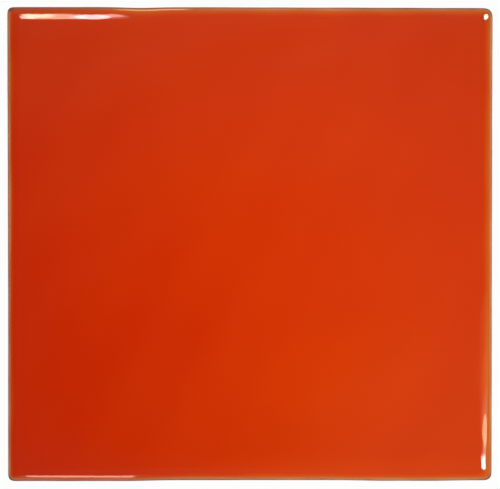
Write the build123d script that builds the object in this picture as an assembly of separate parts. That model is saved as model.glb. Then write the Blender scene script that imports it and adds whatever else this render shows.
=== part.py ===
# Glazed ceramic wall tile: one pressed and fired piece of earthenware.
# Millimetres. The bed face, which takes the adhesive, lies on Z = 0, and the glazed face looks up +Z.
# X runs across the tile and Y runs up it, both from the middle of the bed face.

import os

from build123d import *

# Pressed slab
tile_width = 105.0  # across, X
tile_height = 102.5  # up, Y
tile_thickness = 7.0  # bed face to glazed face
corner_radius = 1.8  # plan radius of the four upright corners
edge_roll = 2.8  # radius of the cushion edge, where the glaze rolls from the face to the sides
bed_bevel = 0.6  # bevel round the bed face

# Keying on the bed face: a waffle of shallow pockets with a plain land round it
land_width = 7.0  # plain land between the outline and the outermost pockets
rib_width = 2.6  # rib between two pockets
pockets_each_way = 6  # pockets across and up, an even number, so that two ribs cross in the middle
pocket_depth = 0.5
pocket_corner = 1.2  # plan radius of a pocket's corners, at its mouth
pocket_draft = 40.0  # lean of a pocket's walls, in degrees, so that the die lets go


def pocket_size(tile_side):
    """Mouth of one pocket along a side of the tile, once the lands and the ribs have their share."""
    keyed = tile_side - 2 * land_width
    ribs = (pockets_each_way - 1) * rib_width
    return (keyed - ribs) / pockets_each_way


def cushioned_slab():
    """The slab with its cushion edge, its softened upright corners and its bed bevel."""
    with BuildPart() as slab:
        Box(
            tile_width,
            tile_height,
            tile_thickness,
            align=(Align.CENTER, Align.CENTER, Align.MIN),
        )
        fillet(slab.faces().sort_by(Axis.Z)[-1].edges(), radius=edge_roll)
        fillet(slab.edges().filter_by(Axis.Z), radius=corner_radius)
        chamfer(slab.faces().sort_by(Axis.Z)[0].edges(), length=bed_bevel)
    return slab.part


def key_pockets():
    """The waffle that the die presses into the bed face, as one cutter that narrows upwards."""
    across = pocket_size(tile_width)
    up = pocket_size(tile_height)
    with BuildPart() as pockets:
        with BuildSketch():
            with GridLocations(
                across + rib_width, up + rib_width, pockets_each_way, pockets_each_way
            ):
                RectangleRounded(across, up, pocket_corner)
        extrude(amount=pocket_depth, taper=pocket_draft)
    return pockets.part


tile = cushioned_slab() - key_pockets()
tile.label = "tile"

os.makedirs("parts", exist_ok=True)
export_step(tile, "parts/tile.step")
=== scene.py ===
import math

import bpy
import numpy as np
from mathutils import Matrix, Vector


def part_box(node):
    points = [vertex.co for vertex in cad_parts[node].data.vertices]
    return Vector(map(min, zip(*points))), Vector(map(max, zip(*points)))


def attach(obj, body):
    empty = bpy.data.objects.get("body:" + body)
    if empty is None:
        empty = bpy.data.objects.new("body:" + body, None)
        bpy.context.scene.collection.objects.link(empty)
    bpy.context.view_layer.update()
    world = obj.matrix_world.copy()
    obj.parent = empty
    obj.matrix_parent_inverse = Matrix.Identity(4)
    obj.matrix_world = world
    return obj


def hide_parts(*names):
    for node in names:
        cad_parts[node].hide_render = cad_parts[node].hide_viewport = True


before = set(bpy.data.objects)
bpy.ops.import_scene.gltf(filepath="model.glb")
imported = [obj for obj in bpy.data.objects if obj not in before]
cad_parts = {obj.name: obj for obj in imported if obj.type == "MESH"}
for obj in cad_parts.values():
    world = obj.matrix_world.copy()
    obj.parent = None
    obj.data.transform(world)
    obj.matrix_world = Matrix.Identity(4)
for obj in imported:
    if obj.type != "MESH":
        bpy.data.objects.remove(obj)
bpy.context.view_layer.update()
tileLow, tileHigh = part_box("tile")
mm = 0.001  # shapes are worked out in mm and written in metres
halfAcross = (tileHigh.x - tileLow.x) / 2 / mm
halfUp = (tileHigh.y - tileLow.y) / 2 / mm
thickness = (tileHigh.z - tileLow.z) / mm
print("frame loaded, tile %.1f x %.1f x %.1f mm" % (2 * halfAcross, 2 * halfUp, thickness))

# the photograph's frame in pixels, and where the tile lies in it
photo = {
    "width": 500,
    "height": 489,
    "tileMiddle": 250.0,  # pixel column of the tile's middle
    "tileTop": 6.65,
    "tileBottom": 481.3,
}
pixelsPerMm = (photo["tileBottom"] - photo["tileTop"]) / (2 * halfUp)


# a pixel column or row of the photograph as mm from the tile's middle
def columnPlace(pixel):
    return (pixel - photo["tileMiddle"]) / pixelsPerMm


def rowPlace(pixel):
    return ((photo["tileTop"] + photo["tileBottom"]) / 2 - pixel) / pixelsPerMm


# smooth step from 0 at low to 1 at high
def ease(value, low, high):
    t = np.clip((value - low) / (high - low), 0.0, 1.0)
    return t * t * (3 - 2 * t)


# plane waves of the given lengths, in seeded directions and phases, summed to about -1 to 1
def ripple(x, y, lengths, seed):
    rng = np.random.default_rng(seed)
    shape = (-1,) + (1,) * np.ndim(x)
    turn = rng.uniform(0, 2 * math.pi, len(lengths)).reshape(shape)
    phase = rng.uniform(0, 2 * math.pi, len(lengths)).reshape(shape)
    wave = 2 * math.pi / np.array(lengths).reshape(shape)
    return np.sin(wave * (np.cos(turn) * x + np.sin(turn) * y) + phase).sum(0) / len(lengths) ** 0.5


# the same round the closed outline, with whole cycles round it, so that the ends meet
def roundRipple(share, cycles, seed):
    phase = np.random.default_rng(seed).uniform(0, 2 * math.pi, len(cycles))
    return np.sin(2 * math.pi * np.outer(cycles, share) + phase[:, None]).sum(0) / len(cycles) ** 0.5


# The tile: everything in mm, degrees or shares
tileShape = {
    "cornerReach": 2.6,  # a corner's rounding starts this far from it
    "cornerRadius": [1.40, 1.66, 1.93, 1.37],  # bottom left, bottom right, top right, top left
    "innerCorner": 0.25,  # corner radius where the edge meets the face
    "cornerPower": 0.6,  # how soon the corners sharpen on the way in
    "cornerLines": 14,  # grid lines in half a corner
    "faceSink": 0.07,  # mean level of the face under the CAD top
    "faceRipple": 0.03,
    "rippleLengths": [19, 27, 38, 56, 83],
    "rippleFade": 9.0,  # the ripple comes in over this from the edge
    "crease": (1.2, 3.0, 3),  # radius, slope at its end and rings; the face turns into the edge
    "pillow": (17.3, 8.0, 9),  # gentle pillow next to the face
    "roll": (1.5, 65.0, 13),  # tighter roll from the pillow down to the arris
    "arris": (1.2, 90.0, 6),
    "edgeWander": 0.05,  # how far the edge's lines wander in and out
    "wanderCycles": [7, 13, 19, 31],  # its waves round the tile
    "sideLean": 0.02,  # the glazed side leans out to its bead by this
    "sideRings": 8,
    "glazeLine": 1.9,  # mean height of the glaze's lower edge
    "glazeWander": 0.35,
    "glazeCycles": [5, 9, 14, 23],
    "glazeLimits": (0.15, 1.0),  # it keeps this far above the bevel and below the arris
    "dripCount": 17,
    "dripWidth": (0.8, 2.2),
    "dripLength": (0.25, 0.75),
    "beadHeight": 0.26,
    "beadTuck": 0.02,  # the bead curls in this far past the clay
    "beadRings": 6,
    "clayInset": 0.17,  # bare clay lies this far inside the glaze
    "clayRings": 5,
    "clayGrain": 0.03,
    "grainCycles": [61, 89, 127, 173],
    "grainStep": 1.7,  # radians by which the grain shifts from ring to ring
    "bedBevel": 0.6,
    "bevelRings": 3,
    "dabPixel": (484.6, 18.1),  # flat spot near the top right corner, leaning towards it
    "dabSize": (0.60, 0.80),  # half its width and height
    "dabBlend": (0.8, 1.25),  # shares of its size between which it fades out
    "dabSlope": 8.5,
    "dabTurn": 25.0,  # direction of its lean from straight right
    "seed": 11,
}
# the waffle in the bed
waffle = {
    "land": 7.0,  # plain border
    "rib": 2.6,
    "count": 6,
    "depth": 0.5,
    "corner": 1.2,
    "draft": 40.0,
    "wallMargin": 0.15,  # grid lines just outside each wall
    "plainMargin": 1.0,  # the even lines keep this far from the walls
    "floorLines": 10,
    "landLines": 5,
}
bedInset = tileShape["clayInset"] + tileShape["bedBevel"]


# mouth of a pocket and pitch of the waffle along a side of the bed
def wafflePitch(half):
    keyed = 2 * half - 2 * waffle["land"]
    mouth = (keyed - (waffle["count"] - 1) * waffle["rib"]) / waffle["count"]
    return mouth, mouth + waffle["rib"]


# grid lines across a side, as shares of its straight half: close at the pockets' walls, even
# elsewhere, and the same seen from either end
def gridLines(half):
    mouth, pitch = wafflePitch(half)
    wall = waffle["depth"] * math.tan(math.radians(waffle["draft"]))
    margin = waffle["wallMargin"]
    step = np.array([-margin, 0.0, 0.5 * wall, wall, wall + margin])
    floorStart = wall + waffle["plainMargin"]
    floorLines = np.linspace(floorStart, mouth - floorStart, waffle["floorLines"])
    onePocket = np.concatenate([step, floorLines, mouth - step[::-1], [mouth + waffle["rib"] / 2]])
    starts = waffle["land"] - half + pitch * np.arange(waffle["count"])
    pockets = (starts[:, None] + onePocket).ravel()[:-1]
    straight = half - bedInset - tileShape["cornerReach"]
    landEnd = half - waffle["land"] + waffle["plainMargin"]
    land = np.linspace(straight, landEnd, waffle["landLines"])
    return np.concatenate([-land, pockets, land[::-1]]) / straight


# superellipse power whose corner cuts the diagonal where a round corner of that radius does
def cornerPower(radius):
    cut = radius * (math.sqrt(2) - 1)
    return -1 / np.log2(1 - cut / (math.sqrt(2) * tileShape["cornerReach"]))


# Closed outlines, one row for each inset: four sides, each from one corner's diagonal to the
# next one's. Half a corner is a superellipse by direction, and between two is the straight run.
def outlines(inset, power):
    reach = tileShape["cornerReach"]
    lines = tileShape["cornerLines"]
    turn = np.linspace(math.pi / 4, math.pi / 2, lines + 1)[:-1]
    rowsX = []
    rowsY = []
    for k in range(4):
        halfAlong, halfOut = (halfAcross, halfUp) if k % 2 == 0 else (halfUp, halfAcross)
        straight = halfAlong - inset - reach
        level = halfOut - inset - reach
        grid = gridLines(halfAlong)
        first = power[:, k, None]
        last = power[:, (k + 1) % 4, None]
        firstSize = reach * (np.cos(turn) ** first + np.sin(turn) ** first) ** (-1 / first)
        lastSize = reach * (np.cos(turn) ** last + np.sin(turn) ** last) ** (-1 / last)
        firstAlong = -straight - firstSize * np.cos(turn)
        lastAlong = (straight + lastSize * np.cos(turn))[:, :0:-1]
        along = np.concatenate([firstAlong, straight * grid, lastAlong], axis=1)
        firstOut = level + firstSize * np.sin(turn)
        lastOut = (level + lastSize * np.sin(turn))[:, :0:-1]
        straightOut = np.repeat(level + reach, len(grid), axis=1)
        out = np.concatenate([firstOut, straightOut, lastOut], axis=1)
        angle = k * math.pi / 2  # bottom side first, then right, top and left
        rowsX.append(math.cos(angle) * along + math.sin(angle) * out)
        rowsY.append(math.sin(angle) * along - math.cos(angle) * out)
    return np.concatenate(rowsX, axis=1), np.concatenate(rowsY, axis=1)


# The edge's profile from the face to the side: four arcs in a row, crease, pillow, roll and
# arris, each tangent to the next. Gives inset from the side, drop from the face and slope.
def edgeProfile():
    out = np.zeros(1)
    drop = np.zeros(1)
    slope = np.zeros(1)
    for arc in ("crease", "pillow", "roll", "arris"):
        radius, endSlope, rings = tileShape[arc]
        start = slope[-1]
        turn = np.linspace(start, math.radians(endSlope), rings + 1)[1:]
        out = np.concatenate([out, out[-1] + radius * (np.sin(turn) - math.sin(start))])
        drop = np.concatenate([drop, drop[-1] + radius * (math.cos(start) - np.cos(turn))])
        slope = np.concatenate([slope, turn])
    return out[-1] - out, drop, slope


# how far each side is drawn in by hand; pixels are columns of the photograph
drawnIn = {
    "left": (0.05, 0.18),  # at the top, and how much more lower down
    "leftDown": (-0.1, 0.75),  # shares of the way down between which it grows
    "right": (0.06, 0.23),
    "rightPower": 0.7,
    "top": (0.055, 0.25),  # at the left, and how much more at the right
    "topPower": 1.8,
    "dip": 0.16,  # in the top edge
    "dipPixels": (141, 21),  # middle and half width
    "bottom": 0.02,
    "hollow": 0.20,  # long, in the bottom edge
    "hollowPixels": (125, 178, 335, 400),  # where it begins, is full, fades and ends
    "step": 0.06,  # past the hollow the bottom edge rises twice
    "stepPixels": (380, 400),
    "end": 0.12,
    "endPixels": (435, 475),
    "wave": 0.02,
    "waveLengths": [9, 14, 22],
    "fade": (0.6, 1.0),  # shares of the way out between which it comes in
}


# Hand-made outline: each side is drawn in by a few tenths of a mm, most at the side and not at
# all further in: the left and right lean, the top leans and has a dip, the bottom has a long hollow.
def handMade(x, y):
    across = x / halfAcross
    up = y / halfUp
    down = np.clip((1 - up) / 2, 0, 1)
    along = np.clip((1 + across) / 2, 0, 1)
    column = photo["tileMiddle"] + x * pixelsPerMm
    leftIn = drawnIn["left"][0] + drawnIn["left"][1] * ease(down, *drawnIn["leftDown"])
    rightIn = drawnIn["right"][0] + drawnIn["right"][1] * down ** drawnIn["rightPower"]
    dipMiddle, dipWide = drawnIn["dipPixels"]
    dip = drawnIn["dip"] * np.exp(-(((column - dipMiddle) / dipWide) ** 2))
    topIn = drawnIn["top"][0] + drawnIn["top"][1] * along ** drawnIn["topPower"] + dip
    first, full, fading, last = drawnIn["hollowPixels"]
    hollow = ease(column, first, full) * (1 - ease(column, fading, last))
    bottomIn = drawnIn["bottom"] + drawnIn["hollow"] * hollow
    bottomIn = bottomIn + drawnIn["step"] * ease(column, *drawnIn["stepPixels"])
    bottomIn = bottomIn + drawnIn["end"] * ease(column, *drawnIn["endPixels"])
    wave = drawnIn["wave"] * (1 + ripple(x, y, drawnIn["waveLengths"], tileShape["seed"])) / 2
    fade = drawnIn["fade"]
    newX = x + (leftIn + wave) * ease(-across, *fade) - (rightIn + wave) * ease(across, *fade)
    newY = y + (bottomIn + wave) * ease(-up, *fade) - (topIn + wave) * ease(up, *fade)
    return newX, newY


# depth of the waffle: distance inside the nearest pocket's rounded mouth, over the walls' lean
def waffleDepth(x, y):
    gaps = []
    for place, half in ((x, halfAcross), (y, halfUp)):
        mouth, pitch = wafflePitch(half)
        start = waffle["land"] - half
        cell = np.clip(np.floor((place - start) / pitch), 0, waffle["count"] - 1)
        middle = start + cell * pitch + mouth / 2
        gaps.append(np.abs(place - middle) - mouth / 2 + waffle["corner"])
    outside = np.hypot(np.maximum(gaps[0], 0), np.maximum(gaps[1], 0))
    inside = np.minimum(np.maximum(gaps[0], gaps[1]), 0)
    distance = waffle["corner"] - outside - inside
    return np.clip(distance / math.tan(math.radians(waffle["draft"])), 0, waffle["depth"])


# Fills a closed outline with a grid: opposite sides blended, less the corners counted twice.
# Gives the grid's x and y, and the outline's own index along the grid's border.
def fillOutline(x, y):
    count = len(x) // 4
    index = np.arange(4 * count + 1) % (4 * count)
    bottom = index[: count + 1]
    right = index[count : 2 * count + 1]
    top = index[2 * count : 3 * count + 1][::-1]
    left = index[3 * count :][::-1]
    u = ((x[bottom] - x[bottom[0]]) / (x[bottom[-1]] - x[bottom[0]]))[:, None]
    v = ((y[left] - y[left[0]]) / (y[left[-1]] - y[left[0]]))[None, :]
    filled = []
    for c in (x, y):
        upDown = (1 - v) * c[bottom][:, None] + v * c[top][:, None]
        leftRight = (1 - u) * c[left][None, :] + u * c[right][None, :]
        lower = (1 - u) * c[bottom[0]] + u * c[bottom[-1]]
        upper = (1 - u) * c[top[0]] + u * c[top[-1]]
        filled.append(upDown + leftRight - (1 - v) * lower - v * upper)
    border = np.zeros((count + 1, count + 1), int)
    border[:, 0], border[:, -1] = bottom, top
    border[0, :], border[-1, :] = left, right
    return filled[0], filled[1], border


# quads of a grid of vertex numbers
def gridQuads(index):
    corners = [index[:-1, :-1], index[1:, :-1], index[1:, 1:], index[:-1, 1:]]
    return np.stack(corners, axis=-1).reshape(-1, 4)


edgeInset, edgeDrop, edgeSlope = edgeProfile()
edgeWidth = edgeInset[0]
faceLevel = thickness - tileShape["faceSink"]
arrisLevel = faceLevel - edgeDrop[-1]


# The rings of the skin, from the face's border to the bed's: the edge's profile, the glazed side,
# the bead curling under, bare clay and the bevel, each carried round the outline.
def layRings():
    seed = tileShape["seed"]
    lean = tileShape["sideLean"]
    clay = tileShape["clayInset"]
    bevel = tileShape["bedBevel"]
    bead = tileShape["beadHeight"]
    sideSteps = np.linspace(0, 1, tileShape["sideRings"] + 1)[1:]
    lipTurn = np.linspace(0, math.pi / 2, tileShape["beadRings"] + 1)[1:]
    claySteps = np.linspace(0, 1, tileShape["clayRings"] + 1)[1:]
    bevelSteps = np.linspace(0, 1, tileShape["bevelRings"] + 1)[1:]
    inset = np.concatenate(
        [
            edgeInset + lean,
            lean * (1 - sideSteps),
            (clay + tileShape["beadTuck"]) * (1 - np.cos(lipTurn)),
            np.full(len(claySteps), clay),
            clay + bevel * bevelSteps,
        ]
    )
    ends = np.cumsum([len(edgeInset), len(sideSteps), len(lipTurn), len(claySteps), len(bevelSteps)])
    radii = np.array(tileShape["cornerRadius"])
    inward = np.clip(inset / edgeWidth, 0, 1)[:, None] ** tileShape["cornerPower"]
    power = cornerPower(radii * (1 - inward) + tileShape["innerCorner"] * inward)
    x, y = outlines(inset[:, None], power)
    rows, count = x.shape

    # outward direction and share of the way round, from the outer outline
    outer = ends[0] - 1
    stepX = np.roll(x[outer], -1) - np.roll(x[outer], 1)
    stepY = np.roll(y[outer], -1) - np.roll(y[outer], 1)
    length = np.hypot(stepX, stepY)
    outX, outY = stepY / length, -stepX / length
    share = np.cumsum(length) / length.sum()

    # the glaze's lower edge wanders and runs down in drips, each a bell along it
    rng = np.random.default_rng(seed)
    wholeWay = 4 * (halfAcross + halfUp)
    dripPlace = rng.uniform(0, 1, tileShape["dripCount"])[:, None]
    dripWide = rng.uniform(*tileShape["dripWidth"], tileShape["dripCount"])[:, None] / wholeWay
    dripLong = rng.uniform(*tileShape["dripLength"], tileShape["dripCount"])[:, None]
    away = np.abs((share - dripPlace + 0.5) % 1 - 0.5)
    drips = (dripLong * np.exp(-((away / dripWide) ** 2))).sum(0)
    glazeWaves = tileShape["glazeWander"] * roundRipple(share, tileShape["glazeCycles"], seed)
    aboveBevel, belowArris = tileShape["glazeLimits"]
    glazeEdge = tileShape["glazeLine"] + glazeWaves - drips
    glazeEdge = np.clip(glazeEdge, bevel + aboveBevel, arrisLevel - belowArris)

    # heights
    level = np.ones(count)
    z = np.concatenate(
        [
            (faceLevel - edgeDrop)[:, None] * level,
            arrisLevel + sideSteps[:, None] * (glazeEdge + bead - arrisLevel),
            glazeEdge + bead * (1 - np.sin(lipTurn))[:, None],
            glazeEdge + claySteps[:, None] * (bevel - glazeEdge),
            (bevel * (1 - bevelSteps))[:, None] * level,
        ]
    )

    # the edge's lines wander, most halfway in, and the clay is grainy
    wander = tileShape["edgeWander"] * roundRipple(share, tileShape["wanderCycles"], seed + 1)
    inside = np.zeros(rows)
    inside[: ends[0]] = np.sin(math.pi * edgeInset / edgeWidth)
    grain = np.zeros((rows, count))
    grainShift = np.cos(np.arange(rows - ends[2] - 1) * tileShape["grainStep"])[:, None]
    grainWaves = roundRipple(share, tileShape["grainCycles"], seed + 2)
    grain[ends[2] : -1] = tileShape["clayGrain"] * grainWaves * grainShift
    pull = wander * inside[:, None] + grain
    x, y = handMade(x - outX * pull, y - outY * pull)

    # the flat spot: inside an ellipse the surface is blended to a leaning plane through its middle
    dabX = x - columnPlace(tileShape["dabPixel"][0])
    dabY = y - rowPlace(tileShape["dabPixel"][1])
    dabWide, dabHigh = tileShape["dabSize"]
    onEdge = np.arange(rows)[:, None] < ends[0]
    fromDab = np.where(onEdge, np.hypot(dabX / dabWide, dabY / dabHigh), np.inf)
    dabTurn = math.radians(tileShape["dabTurn"])
    dabOut = math.cos(dabTurn) * dabX + math.sin(dabTurn) * dabY
    dabPlane = z.flat[fromDab.argmin()] - math.tan(math.radians(tileShape["dabSlope"])) * dabOut
    z = z + (dabPlane - z) * (1 - ease(fromDab, *tileShape["dabBlend"]))
    return {
        "x": x,
        "y": y,
        "z": z,
        "inset": inset,
        "ends": ends,  # rings up to the end of each part
        "sideSteps": sideSteps,
        "outX": outX,
        "outY": outY,
        "share": share,
        "fromDab": fromDab,
        "dabOut": dabOut,
    }


# Glaze and clay: colours as linear rgb, lengths in mm
glaze = {
    "deep": (0.61, 0.0245, 0.0013),  # where it lies redder
    "warm": (0.69, 0.0466, 0.0016),  # where it leans to orange
    "tone": 0.52,
    "toneAcross": 0.34,
    "toneUp": 0.03,
    "toneTwist": -0.27,
    "toneSaddle": 0.16,
    "toneClouds": 0.06,
    "cloudLengths": [13, 17, 23, 31, 44],
    "warmLitSpot": (368, 398, 80, 62, 0.30),  # pixel column and row, half width and height, amount; partly the glaze's own tone, partly painted light at the lower right
    # partly the glaze's own tone, partly painted shade at the lower left
    "deepShadedSpot": (140, 350, 90, 115, -0.16),
    "toneMost": 1.15,
    "rimLightRight": (0.10, 2, 6),  # painted light: warmer and lighter by this at the rim, fading between these mm from the side
    "rimLightTop": (0.15, 2, 5),
    "rimLightBottom": (0.35, 2, 7),
    "rimLightBottomFrom": (-0.4, 0.2),  # shares of the half width between which the bottom's painted light comes in
    "thinReach": 2.05,  # the glaze thins from this far in, further at the top and right
    "thinLean": (0.42, 0.22),
    "thinFall": 0.30,  # and on the right further lower down
    "thinWaves": 0.12,
    "thinCycles": [11, 17, 29],
    "thinnest": 0.25,  # thinnest from here outwards
    "thinning": 0.45,
    "thinTopLeft": 0.40,  # less by this share at the top left
    "sideThin": 0.8,  # share of the side over which it thickens again
    "sideWaves": 0.08,
    "sideCycles": [9, 21, 43],
    "beadThick": 1.15,
    "redShare": 0.5,  # the red goes with the thickness by this share
    "arris": (0.17, 0.060, 0.022),  # brown clay through the glaze, darkened further as painted shade on the steep rim
    # stretched pale glaze, partly a painted highlight
    "pale": (1.0, 0.42, 0.17),
    "roughness": 0.045,
    "ior": 1.5,
    "clay": (0.50, 0.235, 0.125),
    "clayDark": (0.36, 0.150, 0.075),
    "clayClouds": (900, 4, 0.7),  # scale over a metre, detail and roughness
    "clayMix": (0.35, 0.7),
    "clayGrit": (2600, 3, 0.65),
    "clayRoughness": 0.85,
    "clayBump": 0.00008,  # in metres
}
# the pale line inside the arris, partly a painted highlight, and the brown on it, partly painted shade
rim = {
    "facing": 0.5,  # a stretch belongs to a side from this much of its direction on
    "patchFacing": 0.9,
    "highlightPatchPixels": (112, 140, 180, 196),  # palest stretch of the top edge, partly a painted highlight, by columns
    "topLeftPixels": (60, 150),  # columns between which the top edge's left end fades out
    "leftHeights": (-15, 10),  # heights between which the left side's upper part comes in
    "rightHeights": (-45.5, -42.5),  # and the right side's lower end goes out
    "paleMiddle": 0.45,
    "middleSides": -0.12,  # nearer to the outline at the left and right
    "middlePatch": 0.15,
    "middleLeft": 0.14,
    "paleWide": 0.24,
    "widePatch": -0.08,
    "wideLeft": 0.08,
    "paleness": 0.29,
    "paleRight": 0.12,
    "paleLeft": 0.04,
    "paleWaves": 0.15,
    "paleCycles": [3, 8, 21, 34],
    "palest": 0.55,
    "paleLoss": 0.8,  # less by this share at the top left and the lower right
    "bareness": 0.06,
    "bareEnds": 0.52,  # more at the top and bottom
    "bareLowRight": 0.35,  # and at the right side's lower end
    "bareCorners": 2.0,
    "bareWaves": 0.15,
    "bareCycles": [2, 5, 9, 37],
    "bareReach": 0.40,
    "bareTopLeft": 0.7,  # reaches further by this share at the top left
    "bareLine": (0.25, 0.12),  # a thin dark line all round the outline, partly painted shade: amount and reach
    "bareSide": 0.2,  # share of the side down which it dies out
    "dabShadeRing": (1.25, 0.3, 0.35),  # ring of painted shade round the flat spot's highlight: place, width and amount
    "dabOpen": 0.35,  # the ring is open past this towards the corner
}


# How the glaze lies on the rings. glazeCover: 1 where glazed. glazeThick: share of the face's
# thickness, least at the arris and full again down the side. The pale rim: where the glaze is stretched
# pale, partly a painted highlight, a bell across the rings. The brown arris: where brown clay shows,
# partly painted shade on the steep rim, a bell about the arris.
def ringLooks(rings):
    seed = tileShape["seed"]
    x, y, ends = rings["x"], rings["y"], rings["ends"]
    outX, outY, share = rings["outX"], rings["outY"], rings["share"]
    edge = slice(0, ends[0])
    side = slice(ends[0], ends[1])
    across = edgeInset[:, None]
    down = rings["sideSteps"][:, None]
    cover = np.ones(x.shape)
    cover[ends[2] - 2 :] = 0  # clay from the bead's last two rings on

    # the stretches of the rim that differ
    first, full, fading, last = (columnPlace(pixel) for pixel in rim["highlightPatchPixels"])
    highlightPatch = ease(x, first, full) * (1 - ease(x, fading, last)) * (outY > rim["patchFacing"])
    first, last = (columnPlace(pixel) for pixel in rim["topLeftPixels"])
    topLeft = (outY > rim["facing"]) * (1 - ease(x, first, last))
    upperLeft = (outX < -rim["facing"]) * ease(y, *rim["leftHeights"])
    lowRight = (outX > rim["facing"]) * (1 - ease(y[ends[0] - 1], *rim["rightHeights"]))

    # thickness
    reach = glaze["thinReach"] + glaze["thinLean"][0] * outX + glaze["thinLean"][1] * outY
    reach = reach + glaze["thinWaves"] * roundRipple(share, glaze["thinCycles"], seed + 4)
    reach = reach - glaze["thinFall"] * np.maximum(outX, 0) * y[ends[0] - 1] / halfUp
    sideWaves = glaze["sideWaves"] * roundRipple(share, glaze["sideCycles"], seed + 6)
    thick = np.ones(x.shape)
    edgeThinning = glaze["thinning"] * (1 - glaze["thinTopLeft"] * topLeft[edge])
    thick[edge] = 1 - edgeThinning * (1 - ease(across, glaze["thinnest"], reach))
    thick[side] = 1 - glaze["thinning"] * (1 - ease(down, 0, glaze["sideThin"])) + sideWaves
    thick[ends[1] : ends[2]] = glaze["beadThick"]

    # pale line of stretched glaze, partly a painted highlight: palest in the top edge's patch and paler
    # on the right
    middle = tileShape["sideLean"] + rim["paleMiddle"] + rim["middleSides"] * outX ** 2
    middle = middle + rim["middlePatch"] * highlightPatch + rim["middleLeft"] * upperLeft
    wide = rim["paleWide"] + rim["widePatch"] * highlightPatch + rim["wideLeft"] * upperLeft
    paleLine = np.exp(-(((rings["inset"][:, None] - middle) / wide) ** 2))
    paleness = rim["paleness"] + rim["paleRight"] * np.maximum(outX, 0) + rim["paleLeft"] * upperLeft
    paleness = paleness + rim["paleWaves"] * roundRipple(share, rim["paleCycles"], seed + 5)
    paleLoss = rim["paleLoss"] * np.maximum(topLeft, lowRight)
    paleness = np.clip(paleness, 0, rim["palest"]) * (1 - paleLoss)
    pale = np.clip(highlightPatch + paleness, 0, 1) * paleLine

    # brown on the arris, partly clay through the glaze and partly painted shade, a little way down the
    # side, and a ring of painted shade round the flat spot
    bareness = rim["bareness"] + rim["bareEnds"] * outY ** 2 + rim["bareLowRight"] * lowRight
    bareness = bareness + rim["bareWaves"] * roundRipple(share, rim["bareCycles"], seed + 7)
    bareness = bareness + rim["bareCorners"] * np.minimum(np.abs(outX), np.abs(outY))
    bareReach = rim["bareReach"] * (1 + rim["bareTopLeft"] * topLeft[edge])
    lineAmount, lineReach = rim["bareLine"]
    ringPlace, ringWide, ringAmount = rim["dabShadeRing"]
    bell = np.clip(bareness, 0, 1) * np.exp(-((across / bareReach) ** 2))
    bareAndShade = np.zeros(x.shape)
    bareAndShade[edge] = np.maximum(bell, lineAmount * np.exp(-((across / lineReach) ** 2)))
    bareAndShade[side] = bareAndShade[ends[0] - 1] * np.exp(-((down / rim["bareSide"]) ** 2))
    # a ring of painted shade round the flat spot
    dabShadeRing = ringAmount * np.exp(-(((rings["fromDab"] - ringPlace) / ringWide) ** 2))
    bareAndShade = np.maximum(bareAndShade, dabShadeRing * (rings["dabOut"] < rim["dabOpen"]))
    return {"glazeCover": cover, "glazeThick": thick, "paleRimAndHighlight": pale, "arrisBareAndShade": bareAndShade}


# Tone of the glaze, 0 deep red to 1 warm: a twisted plane over the tile, two soft spots and clouds,
# partly the glaze's own tone and partly painted light, lighter to the lower right and darker to the
# lower left; and painted light, warmer and lighter towards the rim at the right, top and bottom
def glazeToneAndLight(x, y):
    across = x / halfAcross
    up = y / halfUp
    tone = glaze["tone"] + glaze["toneAcross"] * across + glaze["toneUp"] * up
    tone = tone + glaze["toneTwist"] * across * up + glaze["toneSaddle"] * (up ** 2 - across ** 2)
    for column, row, wide, high, amount in (glaze["warmLitSpot"], glaze["deepShadedSpot"]):
        awayX = (x - columnPlace(column)) * pixelsPerMm / wide
        awayY = (y - rowPlace(row)) * pixelsPerMm / high
        tone = tone + amount * np.exp(-(awayX ** 2) - awayY ** 2)
    tone = tone + glaze["toneClouds"] * ripple(x, y, glaze["cloudLengths"], tileShape["seed"] + 8)
    # painted light: the glaze warmer and lighter towards the rim at the right, top and bottom
    sides = [
        (glaze["rimLightRight"], halfAcross - x, 1.0),
        (glaze["rimLightTop"], halfUp - y, 1.0),
        (glaze["rimLightBottom"], halfUp + y, ease(across, *glaze["rimLightBottomFrom"])),
    ]
    paintedRimLight = np.zeros(len(x))
    for (amount, near, far), away, share in sides:
        paintedRimLight = np.maximum(paintedRimLight, amount * (1 - ease(away, near, far)) * share)
    return np.clip(tone, 0, glaze["toneMost"]) + paintedRimLight


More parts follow.
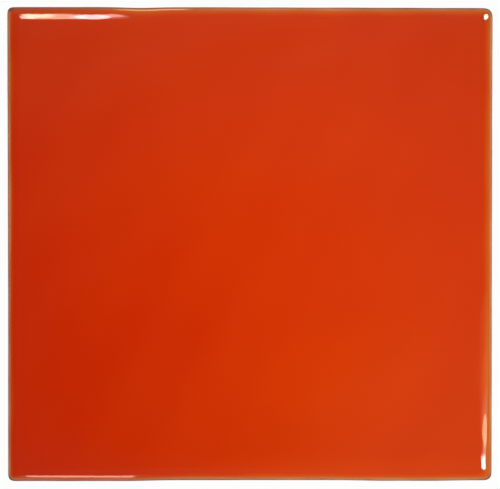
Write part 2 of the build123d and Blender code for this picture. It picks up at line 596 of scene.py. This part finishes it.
# The tile as one closed skin: the face is a filled grid within the rings, and the bed a filled grid
# with the waffle pressed into it.
def buildTile():
    rings = layRings()
    x, y, z = rings["x"], rings["y"], rings["z"]
    faceX, faceY, faceBorder = fillOutline(x[0], y[0])
    bedX, bedY, bedBorder = fillOutline(x[-1], y[-1])
    fromEdge = np.minimum(halfAcross - np.abs(faceX), halfUp - np.abs(faceY)) - edgeWidth
    waves = ripple(faceX, faceY, tileShape["rippleLengths"], tileShape["seed"] + 3)
    faceZ = faceLevel + tileShape["faceRipple"] * ease(fromEdge, 0, tileShape["rippleFade"]) * waves
    bedZ = waffleDepth(bedX, bedY)

    # numbers of the vertices: rings, then the face's inside, then the bed's
    rows, count = x.shape
    inner = faceBorder.shape[0] - 2
    insideCount = inner * inner
    ringIndex = np.arange(rows * count).reshape(rows, count)
    faceIndex = faceBorder.copy()
    faceIndex[1:-1, 1:-1] = rows * count + np.arange(insideCount).reshape(inner, inner)
    bedIndex = bedBorder + (rows - 1) * count
    bedIndex[1:-1, 1:-1] = faceIndex[1:-1, 1:-1] + insideCount
    places = []
    for ring, face, bed in ((x, faceX, bedX), (y, faceY, bedY), (z, faceZ, bedZ)):
        insides = [face[1:-1, 1:-1].ravel(), bed[1:-1, 1:-1].ravel()]
        places.append(np.concatenate([ring.ravel()] + insides))
    points = np.stack(places, axis=1) * mm
    aroundIndex = np.concatenate([ringIndex, ringIndex[:, :1]], axis=1)
    quads = np.concatenate([gridQuads(faceIndex), gridQuads(aroundIndex), gridQuads(bedIndex)[:, ::-1]])

    # each look on the rings, then its plain value on the face's inside and on the bed's
    plain = {"glazeCover": (1, 0), "glazeThick": (1, 1), "paleRimAndHighlight": (0, 0), "arrisBareAndShade": (0, 0)}
    looks = {"glazeToneAndLight": glazeToneAndLight(places[0], places[1])}
    for name, values in ringLooks(rings).items():
        looks[name] = np.concatenate([values.ravel(), np.repeat(plain[name], insideCount)])

    mesh = bpy.data.meshes.new("glazed_tile")
    mesh.from_pydata(points.tolist(), [], quads.tolist())
    mesh.polygons.foreach_set("use_smooth", np.ones(len(quads), bool))
    for name, values in looks.items():
        mesh.attributes.new(name, "FLOAT", "POINT").data.foreach_set("value", values.astype(np.float32))
    mesh.update()
    tile = bpy.data.objects.new("glazed_tile", mesh)
    bpy.context.scene.collection.objects.link(tile)
    print("tile built:", len(points), "points,", 2 * len(quads), "triangles")
    return tile


# Materials
def addNode(tree, kind, **settings):
    node = tree.nodes.new(kind)
    for name, value in settings.items():
        setattr(node, name, value)
    return node


def newMaterial(name):
    material = bpy.data.materials.new(name)
    material.use_nodes = True
    material.node_tree.nodes.clear()
    return material, material.node_tree


# one colour over another by a factor, as a mix node; colours are sockets or rgb values
def mixColours(tree, factor, under, over):
    mix = addNode(tree, "ShaderNodeMix", data_type="RGBA")
    for socket, value in ((mix.inputs[0], factor), (mix.inputs[6], under), (mix.inputs[7], over)):
        if isinstance(value, bpy.types.NodeSocket):
            tree.links.new(value, socket)
        else:
            socket.default_value = (*value, 1)
    return mix.outputs[2]


# a number worked out by one math node
def calculate(tree, operation, first, second):
    node = addNode(tree, "ShaderNodeMath", operation=operation)
    for socket, value in zip(node.inputs, (first, second)):
        if isinstance(value, bpy.types.NodeSocket):
            tree.links.new(value, socket)
        else:
            socket.default_value = value
    return node.outputs[0]


def vectorNode(tree, operation, first, second=None):
    node = addNode(tree, "ShaderNodeVectorMath", operation=operation)
    tree.links.new(first, node.inputs[0])
    if second is not None:
        node.inputs[1].default_value = second
    return node


def mapRange(tree, value, low, high, toLow, toHigh):
    node = addNode(tree, "ShaderNodeMapRange", interpolation_type="SMOOTHSTEP")
    tree.links.new(value, node.inputs["Value"])
    for name, number in (("From Min", low), ("From Max", high), ("To Min", toLow), ("To Max", toHigh)):
        node.inputs[name].default_value = number
    return node.outputs["Result"]


def noise(tree, place, scale, detail, roughness):
    node = addNode(tree, "ShaderNodeTexNoise")
    tree.links.new(place, node.inputs["Vector"])
    node.inputs["Scale"].default_value = scale
    node.inputs["Detail"].default_value = detail
    node.inputs["Roughness"].default_value = roughness
    return node.outputs["Fac"]


# the glaze is a stain whose colour goes with its thickness, as a power; bare clay below it
def glazedClay():
    material, tree = newMaterial("glazed_earthenware")
    place = addNode(tree, "ShaderNodeTexCoord").outputs["Object"]
    cover = addNode(tree, "ShaderNodeAttribute", attribute_name="glazeCover").outputs["Fac"]
    thick = addNode(tree, "ShaderNodeAttribute", attribute_name="glazeThick").outputs["Fac"]
    tone = addNode(tree, "ShaderNodeAttribute", attribute_name="glazeToneAndLight").outputs["Fac"]
    arris = addNode(tree, "ShaderNodeAttribute", attribute_name="arrisBareAndShade").outputs["Fac"]
    pale = addNode(tree, "ShaderNodeAttribute", attribute_name="paleRimAndHighlight").outputs["Fac"]

    full = mixColours(tree, tone, glaze["deep"], glaze["warm"])
    full.node.clamp_factor = False  # the painted light at the rim goes a little past warm
    channels = addNode(tree, "ShaderNodeSeparateColor")
    tree.links.new(full, channels.inputs[0])
    thinned = addNode(tree, "ShaderNodeCombineColor")
    redThick = calculate(tree, "MULTIPLY_ADD", thick, glaze["redShare"])
    redThick.node.inputs[2].default_value = 1 - glaze["redShare"]
    for channel, socket, power in zip(channels.outputs, thinned.inputs, (redThick, thick, thick)):
        tree.links.new(calculate(tree, "POWER", channel, power), socket)
    # the pale line, partly a painted highlight
    stained = mixColours(tree, pale, thinned.outputs[0], glaze["pale"])
    # the brown arris, partly clay through the glaze and partly painted shade
    stained = mixColours(tree, arris, stained, glaze["arris"])

    # clay: two tones in fine clouds, grainy
    clouds = noise(tree, place, *glaze["clayClouds"])
    dark = mapRange(tree, clouds, *glaze["clayMix"], 0, 1)
    clay = mixColours(tree, dark, glaze["clay"], glaze["clayDark"])
    unglazed = calculate(tree, "SUBTRACT", 1.0, cover)
    bump = addNode(tree, "ShaderNodeBump")
    bump.inputs["Distance"].default_value = glaze["clayBump"]
    grit = calculate(tree, "MULTIPLY", noise(tree, place, *glaze["clayGrit"]), unglazed)
    tree.links.new(grit, bump.inputs["Height"])

    shader = addNode(tree, "ShaderNodeBsdfPrincipled")
    shader.inputs["IOR"].default_value = glaze["ior"]
    tree.links.new(mixColours(tree, cover, clay, stained), shader.inputs["Base Color"])
    shiny = calculate(tree, "MULTIPLY", cover, calculate(tree, "SUBTRACT", 1.0, arris))
    rough = mapRange(tree, shiny, 0, 1, glaze["clayRoughness"], glaze["roughness"])
    tree.links.new(rough, shader.inputs["Roughness"])
    tree.links.new(bump.outputs["Normal"], shader.inputs["Normal"])
    output = addNode(tree, "ShaderNodeOutputMaterial")
    tree.links.new(shader.outputs[0], output.inputs["Surface"])
    print("glaze and clay mixed")
    return material


tile = buildTile()
tile.data.materials.append(glazedClay())
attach(tile, "root")
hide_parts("tile")

# Floor
floorLook = {
    "size": 4.0,
    "colour": (0.80, 0.80, 0.79),
    "glow": 0.97,  # share of plain white to the camera
    "mirrored": 0.25,  # and in reflections
}


# white to the eye and in reflections, with part of the shadow that falls on it
def layFloor():
    half = floorLook["size"] / 2
    mesh = bpy.data.meshes.new("floor")
    corners = [(-half, -half, 0), (half, -half, 0), (half, half, 0), (-half, half, 0)]
    mesh.from_pydata(corners, [], [(0, 1, 2, 3)])
    floor = bpy.data.objects.new("floor", mesh)
    bpy.context.scene.collection.objects.link(floor)
    material, tree = newMaterial("white_floor")
    rays = addNode(tree, "ShaderNodeLightPath").outputs
    seen = calculate(tree, "MAXIMUM", rays["Is Camera Ray"], rays["Is Transmission Ray"])
    seen = calculate(tree, "MULTIPLY", seen, floorLook["glow"])
    mirrored = calculate(tree, "MULTIPLY", rays["Is Glossy Ray"], floorLook["mirrored"])
    share = calculate(tree, "MAXIMUM", seen, mirrored)
    matt = addNode(tree, "ShaderNodeBsdfDiffuse")
    matt.inputs["Color"].default_value = (*floorLook["colour"], 1)
    white = addNode(tree, "ShaderNodeEmission")
    mix = addNode(tree, "ShaderNodeMixShader")
    tree.links.new(share, mix.inputs[0])
    tree.links.new(matt.outputs[0], mix.inputs[1])
    tree.links.new(white.outputs[0], mix.inputs[2])
    output = addNode(tree, "ShaderNodeOutputMaterial")
    tree.links.new(mix.outputs[0], output.inputs["Surface"])
    mesh.materials.append(material)


layFloor()
print("floor laid")

# Camera: straight above the tile
cameraSet = {"height": 0.5, "sensor": 36.0, "nearest": 0.01}
cameraLevel = arrisLevel * mm + cameraSet["height"]
frameMiddle = rowPlace(photo["height"] / 2) * mm
cameraPlace = Vector((columnPlace(photo["width"] / 2) * mm, frameMiddle, cameraLevel))
cameraData = bpy.data.cameras.new("camera")
cameraData.sensor_width = cameraSet["sensor"]
cameraData.lens = cameraSet["sensor"] * cameraSet["height"] / (photo["width"] / pixelsPerMm * mm)
cameraData.clip_start = cameraSet["nearest"]
camera = bpy.data.objects.new("camera", cameraData)
camera.location = cameraPlace
bpy.context.scene.collection.objects.link(camera)
bpy.context.scene.camera = camera

# Room: dim, darkest over the lower left of the tile, brighter to the top, bottom and right,
# pale round the horizon
room = {
    "darkAt": (-0.030, -0.045, 0.0),  # direction of the darkest spot
    "darkWide": 0.050,
    "rise": 1.75,  # brightening away from it
    "most": 0.155,  # brightest, straight above
    "mostFall": -0.28,  # its change outwards
    "mostLean": (0.075, 0.10, 0.0),  # its lean to the upper right
    "mostBand": (0.0, 0.275, 0.0),  # and its rise to both the top and the bottom
    "liftFrom": (0.083, 0.098),  # and the lift beyond what the flat face mirrors
    "lift": (0.065, 0.050),  # at the top and the bottom
    "paleRight": (0.012, 0.045),  # a paler part at the lower right begins between these
    "paleLow": (-0.080, -0.035),
    "paleLift": 0.032,
    "horizon": (0.06, 0.60),  # heights between which it goes from pale to dim
    "pale": 0.9,
}


def lightRoom():
    world = bpy.data.worlds.new("room")
    bpy.context.scene.world = world
    world.use_nodes = True
    tree = world.node_tree
    tree.nodes.clear()
    direction = addNode(tree, "ShaderNodeTexCoord").outputs["Generated"]
    outwards = vectorNode(tree, "MULTIPLY", direction, (1, 1, 0)).outputs["Vector"]
    fromDark = vectorNode(tree, "SUBTRACT", outwards, room["darkAt"]).outputs["Vector"]
    bright = vectorNode(tree, "LENGTH", fromDark).outputs["Value"]
    bright = calculate(tree, "SUBTRACT", bright, room["darkWide"])
    bright = calculate(tree, "MULTIPLY", bright, room["rise"])
    bright = calculate(tree, "MAXIMUM", bright, 0.0)
    most = vectorNode(tree, "LENGTH", outwards).outputs["Value"]
    most = calculate(tree, "MULTIPLY", most, room["mostFall"])
    most = calculate(tree, "ADD", most, room["most"])
    lean = vectorNode(tree, "DOT_PRODUCT", outwards, room["mostLean"]).outputs["Value"]
    bothWays = vectorNode(tree, "ABSOLUTE", outwards).outputs["Vector"]
    band = vectorNode(tree, "DOT_PRODUCT", bothWays, room["mostBand"]).outputs["Value"]
    most = calculate(tree, "ADD", calculate(tree, "ADD", most, lean), band)
    bright = calculate(tree, "MINIMUM", bright, most)
    parts = addNode(tree, "ShaderNodeSeparateXYZ")
    tree.links.new(direction, parts.inputs[0])
    low, high = room["liftFrom"]
    atTop = mapRange(tree, parts.outputs["Y"], low, high, 0, room["lift"][0])
    atBottom = mapRange(tree, parts.outputs["Y"], -high, -low, room["lift"][1], 0)
    bright = calculate(tree, "ADD", calculate(tree, "ADD", bright, atTop), atBottom)
    paleRight = mapRange(tree, parts.outputs["X"], *room["paleRight"], 0, room["paleLift"])
    paleLow = mapRange(tree, parts.outputs["Y"], *room["paleLow"], 1, 0)
    bright = calculate(tree, "ADD", bright, calculate(tree, "MULTIPLY", paleRight, paleLow))
    low, high = room["horizon"]
    horizon = mapRange(tree, parts.outputs["Z"], low, high, room["pale"], 0)
    strength = calculate(tree, "MAXIMUM", bright, horizon)
    background = addNode(tree, "ShaderNodeBackground")
    tree.links.new(strength, background.inputs["Strength"])
    output = addNode(tree, "ShaderNodeOutputWorld")
    tree.links.new(background.outputs[0], output.inputs["Surface"])


lightRoom()
print("room lit")

# Main light: a soft lamp low over the tile, to the lower right, left out of reflections
softLight = {"place": (0.012, -0.007, 0.18), "size": 0.10, "power": 0.2785, "colour": (1.0, 0.98, 0.95)}
softData = bpy.data.lights.new("softLight", "AREA")
softData.shape = "DISK"
softData.size = softLight["size"]
softData.energy = softLight["power"]
softData.color = softLight["colour"]
softData.cycles.use_multiple_importance_sampling = False
softLamp = bpy.data.objects.new("softLight", softData)
softLamp.location = softLight["place"]
softLamp.visible_camera = False
softLamp.visible_glossy = False
bpy.context.scene.collection.objects.link(softLamp)

# Lamps that show in the edge: each is hung where its reflection falls on the given pixels
lamps = [
    {
        "name": "paneEnd",
        "side": "top",
        "pixels": (24, 35),  # columns of its reflection, or rows on the right side
        "inset": (7.5, 10.0),  # pixels in from the outline
        "shape": "RECTANGLE",
        "radiance": 14.0,
        "colour": (1.0, 0.98, 0.78),
    },
    {
        "name": "paneEndLow",
        "side": "top",
        "pixels": (18, 35),
        "inset": (10.0, 12.7),
        "shape": "RECTANGLE",
        "radiance": 14.0,
        "colour": (1.0, 0.96, 0.72),
    },
    {
        "name": "paneCream",
        "side": "top",
        "pixels": (35, 53),
        "inset": (7.7, 10.8),
        "shape": "RECTANGLE",
        "radiance": 11.0,
        "colour": (1.0, 1.0, 0.76),
    },
    {
        "name": "panePeach",
        "side": "top",
        "pixels": (28, 72),
        "inset": (7.4, 12.8),
        "shape": "RECTANGLE",
        "radiance": 10.0,
        "colour": (1.0, 0.90, 0.58),
    },
    {
        "name": "panePink",
        "side": "top",
        "pixels": (71, 86),
        "inset": (7.8, 12.8),
        "shape": "RECTANGLE",
        "radiance": 9.0,
        "colour": (1.0, 0.84, 0.80),
    },
    {
        "name": "paneWhite",
        "side": "top",
        "pixels": (75, 111),
        "inset": (7.9, 12.8),
        "shape": "ELLIPSE",
        "radiance": 17.0,
        "colour": (1.0, 0.97, 0.95),
    },
    {
        "name": "paneTail",
        "side": "top",
        "pixels": (100, 127),
        "inset": (7.6, 10.6),
        "shape": "ELLIPSE",
        "radiance": 8.0,
        "colour": (1.0, 0.74, 0.66),
    },
    {
        "name": "paneFade",
        "side": "top",
        "pixels": (96, 132),
        "inset": (7.2, 12.4),
        "shape": "ELLIPSE",
        "radiance": 1.8,
        "colour": (1.0, 0.80, 0.60),
    },
    {
        "name": "topLine",
        "side": "top",
        "pixels": (125, 187),
        "inset": (2.3, 3.4),
        "shape": "RECTANGLE",
        "radiance": 7.0,
        "colour": (1.0, 0.45, 0.25),
    },
    {
        "name": "bulb",
        "side": "right",
        "pixels": (456, 471),
        "inset": (6.0, 8.2),
        "shape": "RECTANGLE",
        "radiance": 27.0,
        "colour": (1.0, 0.98, 0.95),
    },
    {
        "name": "bulbInner",
        "side": "right",
        "pixels": (456, 476),
        "inset": (8.2, 10.4),
        "shape": "RECTANGLE",
        "radiance": 27.0,
        "colour": (1.0, 0.98, 0.95),
    },
    {
        "name": "warmStrip",
        "side": "right",
        "pixels": (413, 448),
        "inset": (5.6, 10.0),
        "shape": "ELLIPSE",
        "radiance": 8.0,
        "colour": (1.0, 0.96, 0.62),
    },
    {
        "name": "warmTail",
        "side": "right",
        "pixels": (438, 462),
        "inset": (5.9, 8.6),
        "shape": "ELLIPSE",
        "radiance": 3.2,
        "colour": (1.0, 0.80, 0.60),
    },
    {
        "name": "warmGlow",
        "side": "right",
        "pixels": (388, 456),
        "inset": (4.8, 11.2),
        "shape": "ELLIPSE",
        "radiance": 1.0,
        "colour": (1.0, 0.90, 0.60),
    },
    {
        "name": "sideGlow",
        "side": "right",
        "pixels": (345, 430),
        "inset": (4.6, 11.6),
        "shape": "ELLIPSE",
        "radiance": 0.9,
        "colour": (1.0, 0.42, 0.16),
    },
    {
        "name": "sideHaze",
        "side": "right",
        "pixels": (290, 450),
        "inset": (4.6, 15.0),
        "shape": "ELLIPSE",
        "radiance": 0.6,
        "colour": (1.0, 0.45, 0.18),
    },
    {
        "name": "lowStrip",
        "side": "bottom",
        "pixels": (26, 137),
        "inset": (4.2, 5.8),
        "shape": "RECTANGLE",
        "radiance": 8.4,
        "colour": (1.0, 0.80, 0.66),
    },
]
lampDistance = 0.12
sideWays = {"top": (0, 1), "right": (1, 0), "bottom": (0, -1)}


# the spot of the edge that a pixel along a side and an inset in pixels give, and its normal
def edgeSpot(side, pixel, insetPixels):
    outX, outY = sideWays[side]
    inset = insetPixels / pixelsPerMm
    slope = np.interp(inset, edgeInset[::-1], edgeSlope[::-1])
    level = faceLevel - np.interp(inset, edgeInset[::-1], edgeDrop[::-1])
    if outX == 0:
        spot = Vector((columnPlace(pixel), outY * (halfUp - inset), level)) * mm
    else:
        spot = Vector((outX * (halfAcross - inset), rowPlace(pixel), level)) * mm
    return spot, Vector((outX * math.sin(slope), outY * math.sin(slope), math.cos(slope)))


# the place, lampDistance away, that the camera sees mirrored there: the view turned about the normal
def mirrored(spot, normal):
    view = (cameraPlace - spot).normalized()
    return spot + lampDistance * (2 * view.dot(normal) * normal - view)


# a lamp that only shows in reflections, facing its spot on the tile
def hangLamp(settings, spot, middle, along, across):
    alongWay = along.normalized()
    back = middle - spot  # the lamp shines the other way
    back = (back - back.dot(alongWay) * alongWay).normalized()
    acrossWay = back.cross(alongWay)
    data = bpy.data.lights.new(settings["name"], "AREA")
    data.shape = settings["shape"]
    data.size = along.length
    data.size_y = across.length
    data.color = settings["colour"]
    share = math.pi / 4 if settings["shape"] == "ELLIPSE" else 1.0
    data.energy = settings["radiance"] * math.pi * data.size * data.size_y * share
    lamp = bpy.data.objects.new(settings["name"], data)
    turned = Matrix((alongWay, acrossWay, back)).transposed().to_4x4()
    lamp.matrix_world = Matrix.Translation(middle) @ turned
    lamp.visible_camera = False
    lamp.visible_diffuse = False
    bpy.context.scene.collection.objects.link(lamp)


for settings in lamps:
    first, last = settings["pixels"]
    low, high = settings["inset"]
    spot, _ = edgeSpot(settings["side"], (first + last) / 2, (low + high) / 2)
    a = mirrored(*edgeSpot(settings["side"], first, low))
    b = mirrored(*edgeSpot(settings["side"], first, high))
    c = mirrored(*edgeSpot(settings["side"], last, low))
    d = mirrored(*edgeSpot(settings["side"], last, high))
    hangLamp(settings, spot, (a + b + c + d) / 4, (c + d - a - b) / 2, (b + d - a - c) / 2)

# one more lamp for the flat spot on the corner
cornerLamp = {
    "name": "cornerBulb",
    "size": 0.015,
    "shape": "ELLIPSE",
    "radiance": 27.0,
    "colour": (1.0, 1.0, 0.80),
}
dab = math.radians(tileShape["dabSlope"])
dabTurn = math.radians(tileShape["dabTurn"])
dabLean = math.sin(dab)
dabNormal = Vector((dabLean * math.cos(dabTurn), dabLean * math.sin(dabTurn), math.cos(dab)))
dabX, dabY = tileShape["dabPixel"]
dabSpot = Vector((columnPlace(dabX), rowPlace(dabY), faceLevel)) * mm
sideways = Vector((1, -1, 0)).normalized() * cornerLamp["size"]
hangLamp(cornerLamp, dabSpot, mirrored(dabSpot, dabNormal), sideways, sideways)
print("lamps hung:", len(lamps) + 2)

bpy.context.scene.view_settings.view_transform = "Standard"
